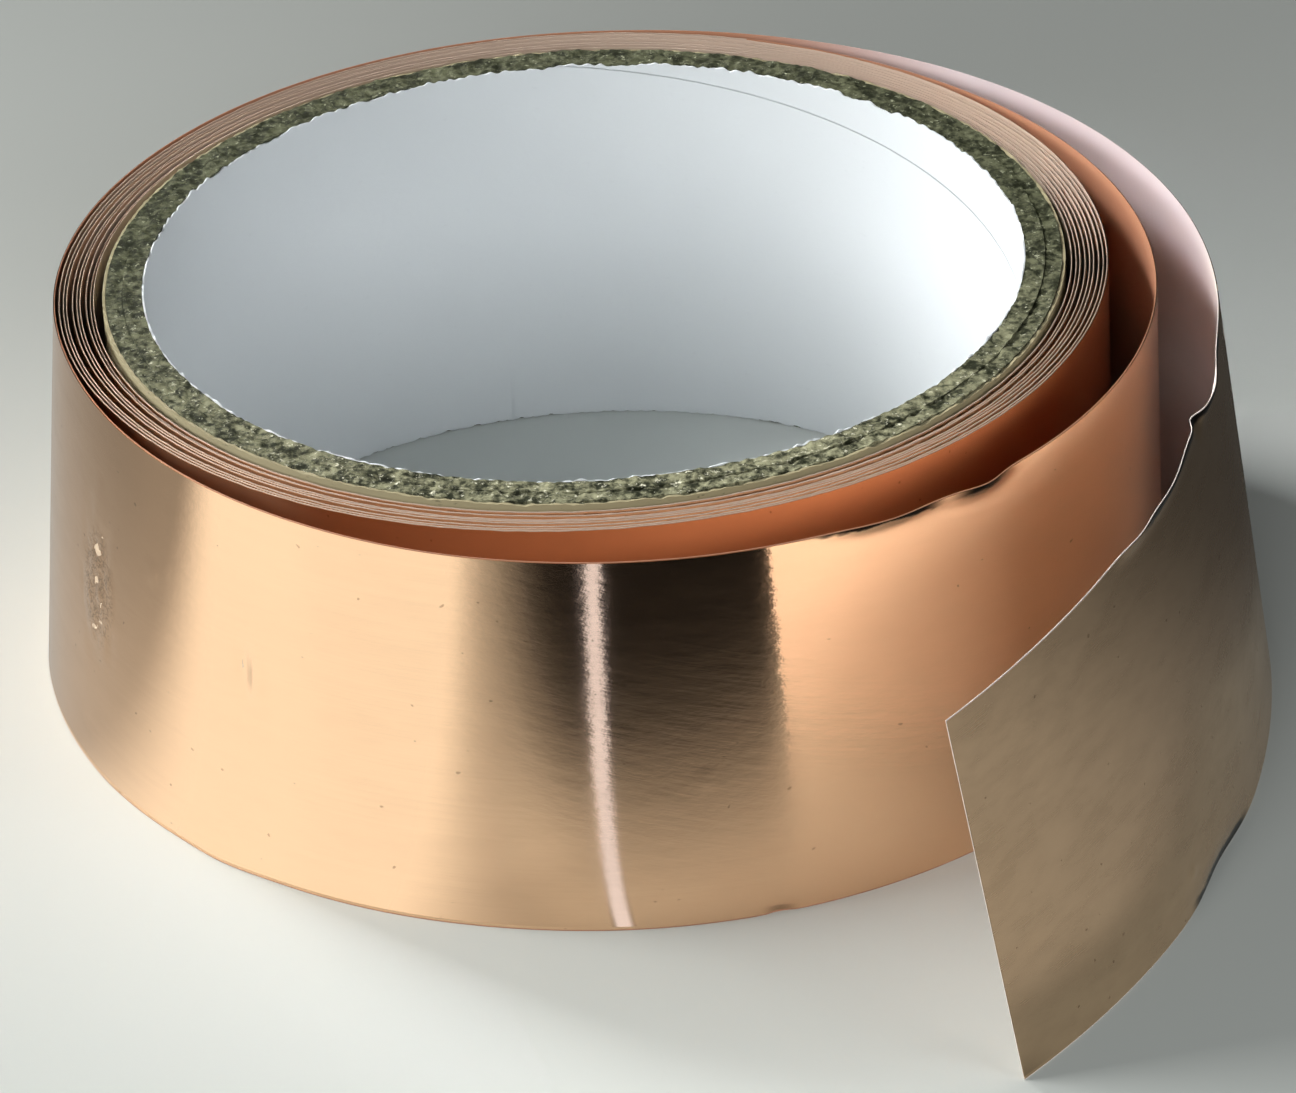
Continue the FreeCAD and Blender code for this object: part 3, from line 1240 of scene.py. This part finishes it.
    def _wound(self, web: Web, finish: bpy.types.Material) -> bpy.types.Object:
        """Builds the tight windings of a web.

        Args:
            web: The web.
            finish: Its material.

        Returns:
            The piece.
        """
        start = self.path.run_of(self.path.pack_end_angle)
        end = self.path.run_of(self.path.pack_start_angle)
        length = StripLength(self.path, web, start, end, 0.6 * MM, 2, 0.0)
        piece = length.model(f"wound_{web.name}_look", self._ragged)
        dress(piece, finish)
        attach(piece, self.body)
        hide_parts(f"wound_{web.name}")
        return piece

    def _loose(self, web: Web, finish: bpy.types.Material) -> bpy.types.Object:
        """Builds the loose turns of a web, up to just short of the first hinge.

        Args:
            web: The web.
            finish: Its material.

        Returns:
            The piece.
        """
        start = self.path.run_of(self.loose_to)
        end = self.path.run_of(self.path.pack_end_angle)
        column = 0.6 * MM if web is FOIL else 0.8 * MM
        length = StripLength(self.path, web, start, end, column)
        piece = length.model(f"loose_turn_{web.name}_look", self._uneven)
        dress(piece, finish)
        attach(piece, self.body)
        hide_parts(f"loose_turn_{web.name}")
        return piece

    def _tail(self, web: Web, finish: bpy.types.Material) -> list[bpy.types.Object]:
        """Builds the stretches of free end of a web, one across each hinge.

        Args:
            web: The web.
            finish: Its material.

        Returns:
            The pieces, from the roll outwards.
        """
        root_split = (self.root_hinge + self.mid_hinge) / 2
        mid_split = (self.mid_hinge + self.tip_hinge) / 2
        tip_split = (self.tip_hinge + self.peel_hinge) / 2
        root_end = self.path.run_of(self.loose_to)
        tip_start = tip_split if web is LINER else 0.0
        root, mid, tip, flap = ("tail_root", "tail_mid", "tail_tip", "liner_flap")
        stretches = [
            (f"{root}_{web.name}", root_split, root_end, self.root_hinge, (self.body, root)),
            (f"{mid}_{web.name}", mid_split, root_split, self.mid_hinge, (root, mid)),
            (f"{tip}_{web.name}", tip_start, mid_split, self.tip_hinge, (mid, tip)),
        ]
        if web is LINER:
            stretches.append(("liner_peel_flap", 0.0, tip_split, self.peel_hinge, (tip, flap)))
        made = []
        for node, start, end, hinge, bodies in stretches:
            length = StripLength(self.path, web, start, end, 0.5 * MM)
            piece = length.model(f"{node}_look", self._uneven)
            dress(piece, finish)
            self._bend(piece, hinge, bodies)
            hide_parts(node)
            made.append(piece)
        return made

    def _bend(self, piece: bpy.types.Object, hinge: float, bodies: tuple[str, str]) -> None:
        """Bakes a piece's transform into its mesh; the strip's points on each side of its hinge are
        worked out but not used.

        Args:
            piece: The piece.
            hinge: The hinge's run.
            bodies: The bodies before and after the hinge.
        """
        reach = self.peel_reach if "liner_flap" in bodies else self.blend_reach
        runs = np.array([hinge + reach, hinge - reach])
        before, after = self.path.points(runs, np.full(2, self.path.width / 2), 0.0)
        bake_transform(piece)


# --- studio --------------------------------------------------------------------------------------


@dataclass(frozen=True)
class SoftLight:
    """A rectangular soft light: where it hangs, what it faces, its size, power and tint."""

    name: str
    place: Triple
    target: Triple
    width: float
    tall: float
    power: float
    colour: Colour = (1.0, 1.0, 1.0)
    mirrored: bool = True
    spread: float = 180.0

    def hang(self) -> bpy.types.Object:
        """Adds the light to the scene.

        Returns:
            The light.
        """
        lamp = bpy.data.lights.new(self.name, "AREA")
        lamp.shape = "RECTANGLE"
        lamp.size = self.width
        lamp.size_y = self.tall
        lamp.energy = self.power
        lamp.color = self.colour
        lamp.spread = math.radians(self.spread)
        hung = bpy.data.objects.new(self.name, lamp)
        bpy.context.scene.collection.objects.link(hung)
        hung.location = self.place
        hung.visible_glossy = self.mirrored
        aim = Vector(self.target) - Vector(self.place)
        hung.rotation_euler = aim.to_track_quat("-Z", "Y").to_euler()
        return hung


@dataclass
class Studio:
    """Floor, a glowing card of painted reflections, lights and camera."""

    elevation: float = 29.787
    tilt: float = 2.838
    lens: float = 253.82
    sensor: float = 36.0
    distance: float = 0.8
    aim: Triple = (4.388 * MM, 0.0, 17.5 * MM)
    aim_drop: float = 8.848 * MM

    def build(self) -> None:
        """Sets the whole studio up."""
        self._floor()
        self._reflector()
        self._lights()
        self._air()
        self._camera()

    def _floor(self) -> None:
        """Adds the plain floor."""
        bpy.ops.object.select_all(action="DESELECT")
        bpy.ops.mesh.primitive_plane_add(size=6.0, location=(0, 0, 0))
        floor = bpy.context.active_object
        floor.name = "floor"
        floor.data.materials.append(FloorFinish().make())

    def _reflector(self) -> None:
        """Lays out the glowing card that only reflections see: painted reflections and a painted
        highlight on the copper.
        """
        bpy.ops.object.select_all(action="DESELECT")
        bpy.ops.mesh.primitive_plane_add(size=1.0, location=(0.0, 0.0, 0.4 * MM))
        card = bpy.context.active_object
        card.name = "reflector"
        card.data.materials.append(PaintedReflectionFinish().make())
        card.visible_camera = False
        card.visible_diffuse = False
        card.visible_shadow = False

    def _lights(self) -> None:
        """Hangs the lights."""
        white, cool = (1.0, 1.0, 1.0), (0.97, 1.0, 1.0)
        middle, gap, right = (0.0, 0.0, 0.0), (0.06, -0.04, 0.02), (0.08, -0.05, 0.0)
        lights = [
            SoftLight("key_light", (-0.32, -0.03, 0.18), middle, 0.26, 0.16, 1.35, (1.0, 1.0, 0.98)),
            SoftLight("front_light", (-0.12, -0.5, 0.24), middle, 0.3, 0.2, 1.3, cool, False),
            SoftLight("gap_light", (-0.12, 0.1, 0.2), gap, 0.07, 0.07, 0.09, white, False, 50.0),
            SoftLight(
                "right_light", (0.36, -0.3, 0.2), right, 0.2, 0.16, 0.28, (0.98, 1.0, 1.0), False, 120.0
            ),
        ]
        for light in lights:
            light.hang()

    def _air(self) -> None:
        """Gives the surroundings an even dim grey."""
        world = bpy.data.worlds.new("surroundings")
        bpy.context.scene.world = world
        world.use_nodes = True
        background = world.node_tree.nodes["Background"]
        background.inputs["Color"].default_value = (0.035, 0.037, 0.036, 1.0)
        bpy.context.scene.view_settings.view_transform = "Standard"

    def _camera(self) -> None:
        """Places the camera from its angles and distance."""
        lift = math.radians(self.elevation)
        roll = math.radians(self.tilt)
        forward = Vector((0.0, math.cos(lift), -math.sin(lift)))
        right = Vector((1.0, 0.0, 0.0))
        up = Vector((0.0, math.sin(lift), math.cos(lift)))
        target = Vector(self.aim) - up * self.aim_drop
        across = right * math.cos(roll) - up * math.sin(roll)
        upward = right * math.sin(roll) + up * math.cos(roll)
        camera_data = bpy.data.cameras.new("camera")
        camera_data.lens = self.lens
        camera_data.sensor_width = self.sensor
        camera_data.clip_start = 0.01
        camera = bpy.data.objects.new("camera", camera_data)
        bpy.context.scene.collection.objects.link(camera)
        turned = Matrix((across, upward, -forward)).transposed().to_4x4()
        camera.matrix_world = Matrix.Translation(target - forward * self.distance) @ turned
        bpy.context.scene.camera = camera


# --- whole scene ---------------------------------------------------------------------------------


def main() -> None:
    """Loads the frame and builds every sub-assembly on it."""
    logging.basicConfig(level=logging.INFO, format="%(name)s: %(message)s")
    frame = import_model()
    Studio().build()
    for assembly in (Core(frame["nodes"]), Tape(StripPath())):
        for piece in assembly.build():
            LOG.info("built %s with %d faces", piece.name, len(piece.data.polygons))


if __name__ == "__main__":
    main()
